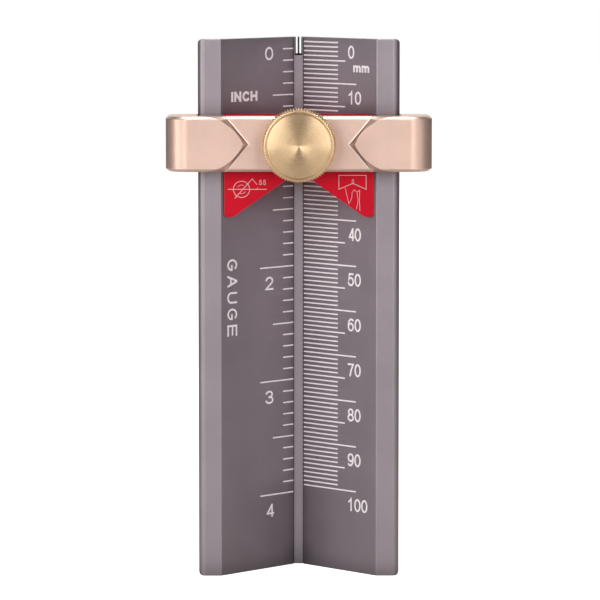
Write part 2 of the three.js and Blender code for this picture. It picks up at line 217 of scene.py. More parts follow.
def inset(outline, distance, share_at=None):
    """The outline moved inwards, whichever way round it runs; share_at(point) scales the distance."""
    count = len(outline)
    area = sum(p.cross(outline[(i + 1) % count]) for i, p in enumerate(outline))
    sign = 1 if area > 0 else -1
    sharpest = 0.4
    moved = []
    for i, here in enumerate(outline):
        before = (here - outline[i - 1]).normalized()
        after = (outline[(i + 1) % count] - here).normalized()
        normals = [Vector((-d.y, d.x)) * sign for d in (before, after)]
        mitre = (normals[0] + normals[1]).normalized()
        reach = distance / max(mitre.dot(normals[0]), sharpest)
        moved.append(here + mitre * reach * (share_at(here) if share_at else 1))
    return moved


def quarter(steps):
    return [math.pi / 2 * i / steps for i in range(steps + 1)]


def rounding(from_end, radius):
    """How far a rounded edge stands back at a distance from the end of the piece."""
    short = max(0, radius - max(0, from_end))
    return radius - math.sqrt(radius**2 - short**2)


def edge_levels(low, high, radius, steps=3):
    """(height, inset) pairs that round both ends of an extrusion."""
    arc = [(radius * (1 - math.cos(t)), radius * (1 - math.sin(t))) for t in quarter(steps)]
    bottom = [(low + rise, shrink) for rise, shrink in arc]
    return bottom + [(high - rise, shrink) for rise, shrink in reversed(arc)]


def block(x_low, x_high, y_low, y_high, z_low, z_high):
    ring = [(x_low, y_low), (x_high, y_low), (x_high, y_high), (x_low, y_high)]
    return loft("block", [[(x, y, z) for x, y in ring] for z in (z_low, z_high)])


def lathe(name, profile, segments=64, radius_at=None, across=0.0):
    """(radius, y) pairs turned about an axis along Y, `across` from the clamp's axis.

    The profile starts and ends on the axis, or closes on itself."""
    points, faces, rows = [], [], []
    for index, (radius, y) in enumerate(profile):
        if radius == 0:
            rows.append([len(points)] * segments)
            points.append((across, y, HEAD_CENTRE))
            continue
        rows.append(list(range(len(points), len(points) + segments)))
        for i in range(segments):
            angle = 2 * math.pi * i / segments
            r = radius_at(index, radius, y, angle) if radius_at else radius
            points.append((across + r * math.cos(angle), y, HEAD_CENTRE + r * math.sin(angle)))
    on_axis = profile[0][0] == 0
    for level in range(len(profile) - 1 if on_axis else len(profile)):
        low, high = rows[level], rows[(level + 1) % len(rows)]
        for i in range(segments):
            j = (i + 1) % segments
            corners = dict.fromkeys((low[i], low[j], high[j], high[i]))
            if len(corners) > 2:
                faces.append(tuple(corners))
    return mesh_from(name, points, faces)


def triangulate(mesh):
    """Splits every face into triangles, which are flat, so that a cut leaves no gaps."""
    shape = bmesh.new()
    shape.from_mesh(mesh)
    bmesh.ops.triangulate(shape, faces=shape.faces)
    shape.to_mesh(mesh)
    shape.free()


def boolean(obj, tool_mesh, operation="DIFFERENCE"):
    """Cuts the object with a closed mesh, or keeps only what lies inside it."""
    triangulate(obj.data)
    triangulate(tool_mesh)
    tool = add_object("tool", tool_mesh)
    modifier = obj.modifiers.new("cut", "BOOLEAN")
    modifier.operation = operation
    modifier.solver = "EXACT"
    modifier.object = tool
    bake(obj)
    bpy.data.objects.remove(tool)


def drill(obj, radius, front, back, across=0.0):
    """A round hole along Y, `across` from the clamp's axis."""
    profile = [(0, front), (radius, front), (radius, back), (0, back)]
    boolean(obj, lathe("drill", profile, 48, across=across))


def bake(obj):
    """Applies the object's modifiers."""
    graph = bpy.context.evaluated_depsgraph_get()
    graph.update()
    mesh = bpy.data.meshes.new_from_object(obj.evaluated_get(graph), depsgraph=graph)
    obj.modifiers.clear()
    obj.data = mesh


def bevel_edges(obj, chosen, width, segments=3):
    """Rounds the edges that chosen(edge) picks; edge ends are in metres."""
    work = bmesh.new()
    work.from_mesh(obj.data)
    edges = [edge for edge in work.edges if len(edge.link_faces) == 2 and chosen(edge)]
    bmesh.ops.bevel(
        work,
        geom=edges,
        offset=width * MM,
        segments=segments,
        profile=0.5,
        affect="EDGES",
        clamp_overlap=True,
    )
    work.to_mesh(obj.data)
    work.free()


def smooth(obj, degrees=30):
    """Smooth shading that leaves flat faces flat and edges over the given angle sharp."""
    for polygon in obj.data.polygons:
        polygon.use_smooth = True
    obj.data.set_sharp_from_angle(angle=math.radians(degrees))
    weighted = obj.modifiers.new("flat faces", "WEIGHTED_NORMAL")
    weighted.keep_sharp = True
    bake(obj)


# ------------------------------------------------------------ materials


class Shader:
    """A node material that is built up in a few calls."""

    def __init__(self, name):
        self.material = bpy.data.materials.new(name)
        self.material.use_nodes = True
        self.tree = self.material.node_tree
        self.tree.nodes.clear()
        self.output = self.node("ShaderNodeOutputMaterial")
        self.surface = self.node("ShaderNodeBsdfPrincipled")
        self.link(self.surface.outputs[0], self.output.inputs[0])
        self.place = self.node("ShaderNodeTexCoord").outputs["Object"]

    def node(self, kind, **values):
        made = self.tree.nodes.new(kind)
        for key, value in values.items():
            setattr(made, key, value)
        return made

    def link(self, source, target):
        self.tree.links.new(source, target)

    def scaled(self, x, y, z):
        mapping = self.node("ShaderNodeMapping")
        mapping.inputs["Scale"].default_value = (x, y, z)
        self.link(self.place, mapping.inputs["Vector"])
        return mapping.outputs[0]

    def noise(self, scale, detail=3.0, vector=None, roughness=0.55):
        made = self.node("ShaderNodeTexNoise")
        made.inputs["Scale"].default_value = scale
        made.inputs["Detail"].default_value = detail
        made.inputs["Roughness"].default_value = roughness
        self.link(vector or self.place, made.inputs["Vector"])
        return made.outputs["Fac"]

    def ranged(self, value, low, high, start=0.0, end=1.0):
        made = self.node("ShaderNodeMapRange")
        made.inputs["From Min"].default_value = start
        made.inputs["From Max"].default_value = end
        made.inputs["To Min"].default_value = low
        made.inputs["To Max"].default_value = high
        self.link(value, made.inputs["Value"])
        return made.outputs[0]

    def math(self, operation, *values):
        made = self.node("ShaderNodeMath", operation=operation)
        for slot, value in enumerate(values):
            if isinstance(value, (int, float)):
                made.inputs[slot].default_value = value
            else:
                self.link(value, made.inputs[slot])
        return made.outputs[0]

    def mix(self, factor, first, second, blend="MIX"):
        made = self.node("ShaderNodeMix", data_type="RGBA", blend_type=blend)
        for slot, value in ((0, factor), (6, first), (7, second)):
            if isinstance(value, (int, float)):
                made.inputs[slot].default_value = value
            elif isinstance(value, tuple):
                made.inputs[slot].default_value = (*value, 1.0)
            else:
                self.link(value, made.inputs[slot])
        return made.outputs[2]

    def bumps(self, *layers):
        """(height, distance in millimetres, strength) layers, one on top of the other."""
        normal = None
        for height, distance, strength in layers:
            made = self.node("ShaderNodeBump")
            made.inputs["Strength"].default_value = strength
            made.inputs["Distance"].default_value = distance * MM
            self.link(height, made.inputs["Height"])
            if normal:
                self.link(normal, made.inputs["Normal"])
            normal = made.outputs[0]
        self.link(normal, self.surface.inputs["Normal"])

    def edges(self, radius, sharpness=6.0):
        """1 along the piece's edges, 0 on its faces."""
        bevel = self.node("ShaderNodeBevel", samples=6)
        bevel.inputs["Radius"].default_value = radius * MM
        geometry = self.node("ShaderNodeNewGeometry")
        dot = self.node("ShaderNodeVectorMath", operation="DOT_PRODUCT")
        self.link(bevel.outputs[0], dot.inputs[0])
        self.link(geometry.outputs["True Normal"], dot.inputs[1])
        away = self.math("SUBTRACT", 1.0, dot.outputs["Value"])
        made = self.math("MULTIPLY", away, sharpness)
        return self.math("MINIMUM", made, 1.0)

    def cavities(self, base, reach, darkest):
        """The base colour with painted shade: darker in notches, inner corners and under nearby parts.
        """
        occlusion = self.node("ShaderNodeAmbientOcclusion", samples=8)
        occlusion.inputs["Distance"].default_value = reach * MM
        share = self.ranged(occlusion.outputs["AO"], darkest, 1.0, 0.2, 0.85)
        return self.mix(1.0, base, share, "MULTIPLY")

    def set(self, **values):
        for key, value in values.items():
            socket = self.surface.inputs[key.replace("_", " ")]
            if isinstance(value, tuple):
                socket.default_value = (*value, 1.0)
            elif isinstance(value, (int, float)):
                socket.default_value = value
            else:
                self.link(value, socket)


def shaded(colour, share):
    return tuple(min(1.0, channel * share) for channel in colour)


def anodised(name, colour, bare, roughness, metallic, grain, streaks, edge_band, reach):
    """Dyed aluminium: fine grain, faint cloudiness and drawing lines, edges rubbed to bare metal,
    and painted shade that darkens corners, creases and faces near other pieces.

    The edge band is how far in from an edge the rubbing goes, `reach` how far out of a corner the
    painted shade goes."""
    shader = Shader(name)
    dark, light = shaded(colour, 0.93), shaded(colour, 1.06)
    cloud = shader.noise(90, 4)
    base = shader.mix(shader.ranged(cloud, 0, 1, 0.35, 0.65), dark, light)
    streak = shader.noise(1, 4, shader.scaled(2600, 2600, 14))
    base = shader.mix(streaks, base, shader.mix(streak, dark, light))
    worn = shader.math("MULTIPLY", shader.edges(edge_band), shader.ranged(cloud, 0.35, 0.8))
    # Painted shade: ambient occlusion darkens corners, creases and faces under nearby pieces
    base = shader.cavities(shader.mix(worn, base, bare), reach, 0.4)
    speckle = shader.noise(5200, 2)
    rough = shader.ranged(speckle, roughness - 0.05, roughness + 0.05, 0.3, 0.7)
    rough = shader.math("SUBTRACT", rough, shader.math("MULTIPLY", worn, 0.15))
    shader.set(Base_Color=base, Roughness=rough, Metallic=metallic)
    shader.bumps((speckle, 0.012, grain), (streak, 0.004, streaks))
    return shader.material


def paint(name, colour):
    """Thin paint with faint gaps where it is rubbed."""
    shader = Shader(name)
    thin = shader.noise(1500, 3)
    base = shader.mix(shader.ranged(thin, 0, 0.5, 0.45, 0.75), colour, shaded(colour, 0.9))
    shader.set(Base_Color=base, Roughness=shader.ranged(thin, 0.45, 0.6), Metallic=0.0)
    shader.bumps((thin, 0.004, 0.4))
    return shader.material


def turned_metal(name, colour, tint, roughness, anisotropy, ring_depth, edge_band):
    """Lathe-turned metal: rings about the clamp's axis, a highlight that fans out, and a painted
    highlight on its edges.
    """
    shader = Shader(name)
    split = shader.node("ShaderNodeSeparateXYZ")
    shader.link(shader.place, split.inputs[0])
    up = shader.math("SUBTRACT", split.outputs["Z"], HEAD_CENTRE * MM)
    across = shader.math("MULTIPLY", split.outputs["X"], split.outputs["X"])
    radius = shader.math("SQRT", shader.math("ADD", across, shader.math("MULTIPLY", up, up)))
    ring_place = shader.node("ShaderNodeCombineXYZ")
    shader.link(shader.math("MULTIPLY", radius, 1 / MM), ring_place.inputs["X"])
    shader.link(shader.math("MULTIPLY", split.outputs["Y"], 1 / MM), ring_place.inputs["Y"])
    rings = shader.noise(22, 4, ring_place.outputs[0], 0.7)
    cloud = shader.noise(160, 3)
    base = shader.mix(shader.ranged(rings, 0, 1, 0.3, 0.7), colour, tint)
    base = shader.mix(shader.ranged(cloud, 0, 0.25, 0.4, 0.7), base, shaded(colour, 0.85))
    # Painted highlight: the edges get a lighter copy of the tint, for light catching the rim and teeth
    base = shader.mix(shader.edges(edge_band), base, shaded(tint, 1.25))
    tangent = shader.node("ShaderNodeTangent", direction_type="RADIAL", axis="Y")
    shader.link(tangent.outputs[0], shader.surface.inputs["Tangent"])
    shader.set(
        Base_Color=base,
        Roughness=shader.ranged(rings, roughness - 0.04, roughness + 0.06, 0.3, 0.7),
        Metallic=1.0,
        Anisotropic=anisotropy,
        Anisotropic_Rotation=0.25,
    )
    shader.bumps((rings, ring_depth, 0.5))
    return shader.material


def plastic(name, colour):
    shader = Shader(name)
    fine = shader.noise(2400, 3)
    shader.set(
        Base_Color=shader.mix(fine, colour, shaded(colour, 0.9)),
        Roughness=shader.ranged(fine, 0.45, 0.6),
    )
    shader.bumps((fine, 0.005, 0.3))
    return shader.material


GREY = anodised(
    "grey anodised",
    colour=(0.34, 0.298, 0.328),
    bare=(0.62, 0.6, 0.6),
    roughness=0.42,
    metallic=0.85,
    grain=0.35,
    streaks=0.35,
    edge_band=0.25,
    reach=6,
)
ROSE = anodised(
    "rose anodised",
    colour=(0.77, 0.545, 0.455),
    bare=(1, 0.93, 0.88),
    roughness=0.4,
    metallic=0.8,
    grain=0.4,
    streaks=0.1,
    edge_band=0.6,
    reach=0.8,
)
RED = anodised(
    "red anodised",
    colour=(0.57, 0.0065, 0.021),
    bare=(0.75, 0.12, 0.13),
    roughness=0.42,
    metallic=0.85,
    grain=0.3,
    streaks=0.1,
    edge_band=0.2,
    reach=4,
)
MARKS = paint("scale paint", (0.97, 0.92, 0.95))
# Painted shade for the sight notch: near-black paint stands in for the shade in its slits
PAINTED_NOTCH_SHADE = paint("painted notch shade", (0.03, 0.016, 0.018))
PICTOGRAMS = paint("pictogram paint", (0.82, 0.5, 0.53))
BRASS = turned_metal(
    "turned brass",
    colour=(0.71, 0.49, 0.28),
    tint=(0.79, 0.575, 0.36),
    roughness=0.28,
    anisotropy=0.9,
    ring_depth=0.0008,
    edge_band=0.12,
)
INSERT = turned_metal(
    "insert brass",
    colour=(0.74, 0.5, 0.22),
    tint=(0.82, 0.6, 0.3),
    roughness=0.3,
    anisotropy=0.4,
    ring_depth=0.004,
    edge_band=0.1,
)
STEEL = turned_metal(
    "ground steel",
    colour=(0.5, 0.5, 0.51),
    tint=(0.62, 0.62, 0.63),
    roughness=0.28,
    anisotropy=0.4,
    ring_depth=0.003,
    edge_band=0.1,
)
POLYMER = plastic("washer polymer", (0.8, 0.77, 0.7))

# ------------------------------------------------------------ rule


def rule_outline():
    """The rule's section; each corner of its right half is given as x, y and radius."""
    arm_back = MOUTH_HALF + ARM_THICK / ARM_AXIS
    right = [
        (GROOVE_HALF - 0.15, MOUTH_HALF - 0.6, 0.15),
        (GROOVE_HALF, MOUTH_HALF - GROOVE_HALF, 0.2),
        (MOUTH_HALF, 0, 0.4),
        (HALF_WIDTH, 0, 1.6),
        (HALF_WIDTH, FLANGE_THICK, 0.8),
        (arm_back - FLANGE_THICK, FLANGE_THICK, 0.4),
        (arm_back - APEX_BACK, APEX_BACK, 0.5),
    ]
    left = [(-x, y, radius) for x, y, radius in reversed(right)]
    return rounded(right + left, 10)


def rule():
    """The extrusion: one outline at every level, cut narrower where the flanges' corners round off."""
    outline = rule_outline()
    rises = [END_CORNER * (1 - math.cos(t)) for t in quarter(8)]
    rises += [RULE_EDGE * (1 - math.cos(t)) for t in quarter(3)]
    rings = []
    for z in sorted({*rises, *(LENGTH - rise for rise in rises)}):
        from_end = min(z, LENGTH - z)
        edge = rounding(from_end, RULE_EDGE)
        limit = HALF_WIDTH - rounding(from_end, END_CORNER) - edge
        rings.append([(max(-limit, min(limit, p.x)), p.y, z) for p in inset(outline, edge)])
    body = add_object("rule", loft("rule", rings), GREY)
    notch(body)
    smooth(body, 32)
    finish(body, "rule", "grey_anodised", "scale_channel")


def notch(body):
    """The sight notch at the zero end: a recess, and two slits either side of a thin fin."""
    wall_front = APEX_BACK - NOTCH_WALL
    bottom, top = LENGTH - NOTCH_DEPTH, LENGTH + 1
    boolean(body, block(-NOTCH_HALF, NOTCH_HALF, MOUTH_HALF / 2, wall_front, bottom, top))
    for side in (-1, 1):
        low, high = sorted((side * FIN_HALF, side * SLIT_HALF))
        boolean(body, block(low, high, wall_front - 1, APEX_BACK + 1, LENGTH - SLIT_DEPTH, top))


# ------------------------------------------------------------ marks

# A mark is drawn in a plane of its own: a along the surface to the right, b up, c out of it.
VALLEY = Vector((0, MOUTH_HALF, 0))
RIGHT_ARM = (Vector((ARM_AXIS, -ARM_AXIS, 0)), Vector((-ARM_AXIS, -ARM_AXIS, 0)), VALLEY)
LEFT_ARM = (Vector((ARM_AXIS, ARM_AXIS, 0)), Vector((ARM_AXIS, -ARM_AXIS, 0)), VALLEY)
SHOE_FACE = (Vector((1, 0, 0)), Vector((0, -1, 0)), Vector((0, SHOE_FRONT, 0)))


def on_surface(surface, a, b, c):
    along, out, origin = surface
    return origin + along * a + Vector((0, 0, b)) + out * c


def ribbon(path, width, closed=False, overrun=0):
    """A line of the given width along (a, b) points, as pairs of left and right points.

    `overrun` is how far an open line goes on past each of its ends."""
    points = [Vector(p) for p in path]
    if not closed:
        points[0] += (points[0] - points[1]).normalized() * overrun
        points[-1] += (points[-1] - points[-2]).normalized() * overrun
    count = len(points)
    sharpest = 0.4
    pairs = []
    for i, here in enumerate(points):
        before = here - points[i - 1] if closed or i > 0 else points[1] - here
        after = points[(i + 1) % count] - here if closed or i < count - 1 else before
        normals = [Vector((-d.y, d.x)).normalized() for d in (before, after)]
        mitre = (normals[0] + normals[1]).normalized()
        reach = width / 2 / max(mitre.dot(normals[0]), sharpest)
        pairs.append((here + mitre * reach, here - mitre * reach))
    return pairs, closed


def film(name, surface, ribbons, material, body, slot="scale_paint"):
    """Thin raised strips of paint, one for each ribbon."""
    points, faces = [], []
    for index, (pairs, closed) in enumerate(ribbons):
        top = FILM + FILM_LIFT * (index % 3)
        first = len(points)
        for left, right in pairs:
            for side, c in ((left, -FILM / 2), (right, -FILM / 2), (right, top), (left, top)):
                points.append(on_surface(surface, side.x, side.y, c))
        rows = [first + 4 * i for i in range(len(pairs))]
        following = rows[1:] + rows[:1]
        for low, high in zip(rows if closed else rows[:-1], following):
            for side in range(4):
                other = (side + 1) % 4
                faces.append((low + side, low + other, high + other, high + side))
        if not closed:
            faces += [tuple(range(row, row + 4)) for row in (rows[0], rows[-1])]
    obj = add_object(name, mesh_from(name, points, faces), material)
    finish(obj, body, slot)


def scale_lines(side, step, count, lengths, width):
    """One line each step down from the zero end: short, every fifth longer, every tenth the longest."""
    start = (GROOVE_HALF + 0.06) / ARM_AXIS
    short, longer, longest = lengths
    lines = []
    for i in range(1, count + 1):
        reach = longest if i % 10 == 0 else longer if i % 5 == 0 else short
        z = LENGTH - i * step
        lines.append(ribbon([(side * start, z), (side * reach / ARM_AXIS, z)], width))
    return lines


def arc(a, b, radius_a, radius_b, start, end, steps=18):
    """Points on an ellipse between two angles in degrees."""
    angles = [math.radians(start + (end - start) * i / steps) for i in range(steps + 1)]
    return [(a + radius_a * math.cos(t), b + radius_b * math.sin(t)) for t in angles]


def oval(a, b, radius_a, radius_b):
    return arc(a, b, radius_a, radius_b, 0, 360, 28)[:-1], True


def pen_strokes(letter):
    """The letter's or figure's strokes in a box one wide and one high, as (points, closed)."""
    six_stem = arc(0.6, 0.46, 0.58, 0.54, 55, 180) + [(0.02, 0.3)]
    six = [oval(0.5, 0.31, 0.48, 0.31), (six_stem, False)]
    open_strokes = {
        "1": [[(0.12, 0.74), (0.42, 0.86), (0.6, 1), (0.6, 0)]],
        "2": [arc(0.5, 0.72, 0.46, 0.28, 170, -38) + [(0.02, 0), (1, 0)]],
        "3": [arc(0.46, 0.755, 0.44, 0.245, 160, -90), arc(0.48, 0.26, 0.5, 0.26, 90, -160)],
        "4": [[(0.84, 0.96), (0.2, 0.26)], [(0.2, 0.24), (1.1, 0.24)], [(0.88, 1), (0.88, 0)]],
        "5": [[(0.9, 1), (0.2, 1), (0.09, 0.52)] + arc(0.48, 0.33, 0.5, 0.33, 132, -160)],
        "7": [[(0, 1), (1, 1), (0.62, 0.55), (0.36, 0)]],
        "A": [[(0, 0), (0.46, 1)], [(0.54, 1), (1, 0)], [(0.17, 0.34), (0.83, 0.34)]],
        "C": [arc(0.57, 0.5, 0.57, 0.5, 48, 312)],
        "E": [[(1, 1), (0, 1), (0, 0), (1, 0)], [(0, 0.52), (0.92, 0.52)]],
        "G": [arc(0.52, 0.5, 0.52, 0.5, 48, 340) + [(1, 0.46), (0.58, 0.46)]],
        "H": [[(0, 0), (0, 1)], [(1, 0), (1, 1)], [(0, 0.52), (1, 0.52)]],
        "I": [[(0.5, 0), (0.5, 1)]],
        "N": [[(0, 0), (0, 1)], [(0, 1), (1, 0)], [(1, 0), (1, 1)]],
        "U": [[(0, 1)] + arc(0.5, 0.36, 0.5, 0.36, 180, 360) + [(1, 1)]],
        "m": [[(0, 0), (0, 1)], arc(0.25, 0.62, 0.25, 0.38, 180, 0) + [(0.5, 0)]]
        + [arc(0.75, 0.62, 0.25, 0.38, 180, 0) + [(1, 0)]],
    }
    strokes = {key: [(points, False) for points in paths] for key, paths in open_strokes.items()}
    strokes["0"] = [oval(0.5, 0.5, 0.5, 0.5)]
    strokes["6"] = six
    strokes["8"] = [oval(0.5, 0.755, 0.42, 0.245), oval(0.5, 0.26, 0.5, 0.26)]
    strokes["9"] = [([(1 - a, 1 - b) for a, b in points], closed) for points, closed in six]
    return strokes[letter]


def writing(text, a, b, width, height, weight, gap, turn=0):
    """Ribbons that write a text that starts at a and is centred on b, turned about that point."""
    spin = Matrix.Rotation(math.radians(turn), 2)
    start = Vector((a, b))
    overrun = 0.45 * weight  # fills the corners where strokes meet
    ribbons = []
    reach = weight / 2
    for letter in text:
        thin = letter == "I"
        room = 0 if thin else width
        for points, closed in pen_strokes(letter):
            path = [
                start + spin @ Vector((reach + (0 if thin else x * room), (y - 0.5) * height))
                for x, y in points
            ]
            ribbons.append(ribbon(path, weight, closed, overrun))
        reach += room + weight + gap
    return ribbons


def millimetre_scale():
    lines = scale_lines(1, 1.0, 100, (8.64, 10.2, 12.6), 0.3)
    film("lines_mm", RIGHT_ARM, lines, MARKS, "rule")
    figures = []
    style = {"width": 1.5, "height": 2.5, "weight": 0.4, "gap": 0.2}
    for tens in range(11):
        figures += writing(str(10 * tens), 15.3, LENGTH - 10 * tens - 3.0, **style)
    film("figures_mm", RIGHT_ARM, figures, MARKS, "rule")
    unit = writing("mm", 16.9, LENGTH - 6.6, width=1.8, height=1.1, weight=0.46, gap=0.3)
    film("unit_mm", RIGHT_ARM, unit, MARKS, "rule")


def notch_paint():
    """Painted shade: a dark film round the sight notch's slits and on its fin, where the notch lies in
    shade.
    """
    floor = (Vector((1, 0, 0)), Vector((0, -1, 0)), Vector((0, APEX_BACK - NOTCH_WALL, 0)))
    bottom, top = LENGTH - NOTCH_DEPTH, LENGTH - RULE_EDGE
    border = NOTCH_HALF - SLIT_HALF
    below = NOTCH_DEPTH - SLIT_DEPTH
    sill = bottom + below / 2
    bare = 0.02  # left unpainted across each strip
    strips = [ribbon([(-NOTCH_HALF, sill), (NOTCH_HALF, sill)], below - bare)]
    for side in (-1, 1):
        middle = side * (NOTCH_HALF - border / 2)
        strips.append(ribbon([(middle, bottom), (middle, top)], border - bare))
    strips.append(ribbon([(0, bottom), (0, top)], 2 * FIN_HALF - bare))
    film("notch_paint", floor, strips, PAINTED_NOTCH_SHADE, "rule", "grey_anodised")


def inch_scale():
    inch = 25.4
    lines = scale_lines(-1, inch / 10, 40, (3.45, 5.7, 8.5), 0.3)
    film("lines_inch", LEFT_ARM, lines, MARKS, "rule")
    figures = []
    style = {"width": 2.1, "height": 2.55, "weight": 0.42}
    for inches in range(5):
        figures += writing(str(inches), -10.45, LENGTH - inch * inches - 3.5, gap=0, **style)
    film("figures_inch", LEFT_ARM, figures, MARKS, "rule")
    unit = writing("INCH", -20.85, LENGTH - 12.65, width=1.55, height=1.7, weight=0.58, gap=0.35)
    film("unit_inch", LEFT_ARM, unit, MARKS, "rule")
    label = writing("GAUGE", -20.65, LENGTH - 48.2, gap=1.1, turn=-90, **style)
    film("label", LEFT_ARM, label, MARKS, "rule")


def pictograms():
    """On the left ear a round bar centred by its angle, on the right a board marked by a pencil."""
    line, fine = 0.14, 0.1
    bar_a, bar_b, bar_radius = -12.5, 85.3, 1.78
    angle = [(bar_a - 1.5, bar_b - 2.0), (bar_a + 2.35, bar_b + 2.3), (bar_a + 3.4, bar_b + 1.0)]
    ribbons = [
        ribbon(oval(bar_a, bar_b, bar_radius, bar_radius)[0], line, True),
        ribbon([(bar_a - 3.0, bar_b), (bar_a + 5.5, bar_b)], line),
        ribbon(angle, line),
        ribbon(arc(bar_a, bar_b, 0.95, 0.95, 60, 150), fine),
        ribbon(arc(bar_a, bar_b, 0.95, 0.95, 240, 330), fine),
        ribbon([(bar_a + 3.5, bar_b), (bar_a + 3.5, bar_b + 0.45)], fine),
    ]
    ribbons += writing("55", -8.7, 86.8, width=0.52, height=0.95, weight=0.15, gap=0.2)
    board_low, board_high = 85.3, 88.35
    left, middle, right = 8.75, 11.8, 14.7
    board = [(left, board_high), (right, board_high), (right, board_low)]
    board += [(middle, board_low + 1.3), (left, board_low)]
    cut = [(10.15, 85.65), (10.45, 84.2), (10.95, 82.2), (11.55, 83.3), (11.65, 84.6)]
    pencil_left, pencil_top, pencil_right = (12.1, 85.2), (12.7, 84.7), (13.3, 85.1)
    ribbons += [
        ribbon(board, line, True),
        ribbon(oval(middle, board_low + 1.7, 0.17, 0.5)[0], fine, True),
        ribbon(cut + [pencil_left], fine),
        ribbon([pencil_left, pencil_top, pencil_right, (13.25, 83.2), (13.35, 80.5)], fine),
        ribbon([pencil_top, (12.95, 82.8), (12.6, 80.9)], fine),
    ]
    film("pictograms", SHOE_FACE, ribbons, PICTOGRAMS, "shoe")


# ------------------------------------------------------------ head


def wall_rise(share):
    """How far up the arrow's bevel is at a share of its run, with a round at its top."""
    nose = 0.2
    steep = 1 / (1 - nose / 2)
    if share < 1 - nose:
        return steep * share
    return 1 - steep * (1 - share) ** 2 / (2 * nose)


def head_section(up):
    """Outline of the head at a height from its centre line."""
    spare = max(0, HEAD_RISE - abs(up))
    arch = OGIVE_START - math.sqrt(OGIVE_RADIUS**2 - (OGIVE_RADIUS - spare) ** 2)
    foot = BEVEL_TIP + (BEVEL_START - BEVEL_TIP) * abs(up) / HEAD_RISE
    slot_half = HALF_WIDTH + SLIDE_GAP
    lip_front = FLANGE_THICK + SLIDE_GAP
    bead = FLOOR - BEAD_RISE
    wall = [(foot - BEAD_WIDTH, FLOOR, 0), (foot - BEAD_FLAT, bead, 0), (foot, bead, 0)]
    foot += BEVEL_GAP
    for share in (0, 0.4, 0.8, 0.86, 0.93, 1):
        height = (RELIEF + BEVEL_SINK) * wall_rise(share) - BEVEL_SINK
        wall.append((foot + (arch - foot) * share, FLOOR - height, 0))
    right = wall + [
        (HEAD_HALF, HEAD_FRONT, HEAD_FRONT_ROUND),
        (HEAD_HALF, HEAD_BACK, 1.5),
        (LIP_HALF, HEAD_BACK, 0.9),
        (LIP_HALF, lip_front, 0.25),
        (slot_half, lip_front, 0.3),
        (slot_half, HEAD_INNER, 0.3),
    ]
    left = [(-x, y, radius) for x, y, radius in reversed(right)]
    return rounded(right + left, 12)


def head_inset(from_end):
    """How far the chamfered rim stands back at a distance from the head's top or bottom."""
    for (near, high), (far, low) in zip(HEAD_CHAMFER, HEAD_CHAMFER[1:]):
        if from_end <= far:
            return high + (low - high) * (from_end - near) / (far - near)
    return 0


def head():
    """The bar and its two hooks, built of sections so that arrows and chamfers run into each other."""
    tip_turn = math.acos(1 - HEAD_RISE / OGIVE_RADIUS)
    steps = 24
    spares = [OGIVE_RADIUS * (1 - math.cos(tip_turn * i / steps)) for i in range(steps + 1)]
    spares += [rise for rise, _ in HEAD_CHAMFER]
    ups = {round(HEAD_RISE - spare, 4) for spare in spares}
    slot_share = 0.25  # of the chamfer, in the slot that the rule runs through
    corner_share = 0.08  # wider, for every millimetre into the rounded ends

    def share_at(point):
        if abs(point.x) < HALF_WIDTH + 1 and point.y > HEAD_INNER - 0.1:
            return slot_share
        return 1 + corner_share * max(0, abs(point.x) - HEAD_HALF + HEAD_FRONT_ROUND)

    def shrunk(section, distance):
        """The section inside the chamfered rim; the arrows sink straight back and keep their shape."""
        pairs = zip(section, inset(section, distance, share_at))
        sunk = Vector((0, distance))
        arrows = OGIVE_START + 0.5
        return [
            p + sunk if abs(p.x) < arrows and p.y < HEAD_INNER - 0.1 else moved
            for p, moved in pairs
        ]

    rings = []
    for up in sorted(ups | {-up for up in ups}):
        section = shrunk(head_section(up), head_inset(HEAD_RISE - abs(up)))
        rings.append([(p.x, p.y, HEAD_CENTRE + up) for p in section])
    body = add_object("head", loft("head", rings), ROSE)
    drill(body, INSERT_RADIUS + FIT_GAP, HEAD_FRONT - 1, 0)
    drill(body, INSERT_HIGH.x + FIT_GAP, HEAD_INNER - INSERT_FLANGE - FIT_GAP, 0)
    for side in (-1, 1):
        drill(body, PIN_RADIUS + FIT_GAP, PIN_LOW.y - FIT_GAP, 0, side * PIN_OFFSET)
    smooth(body, 28)
    finish(body, "head", "rose_anodised", "fence_head")


# ------------------------------------------------------------ shoe


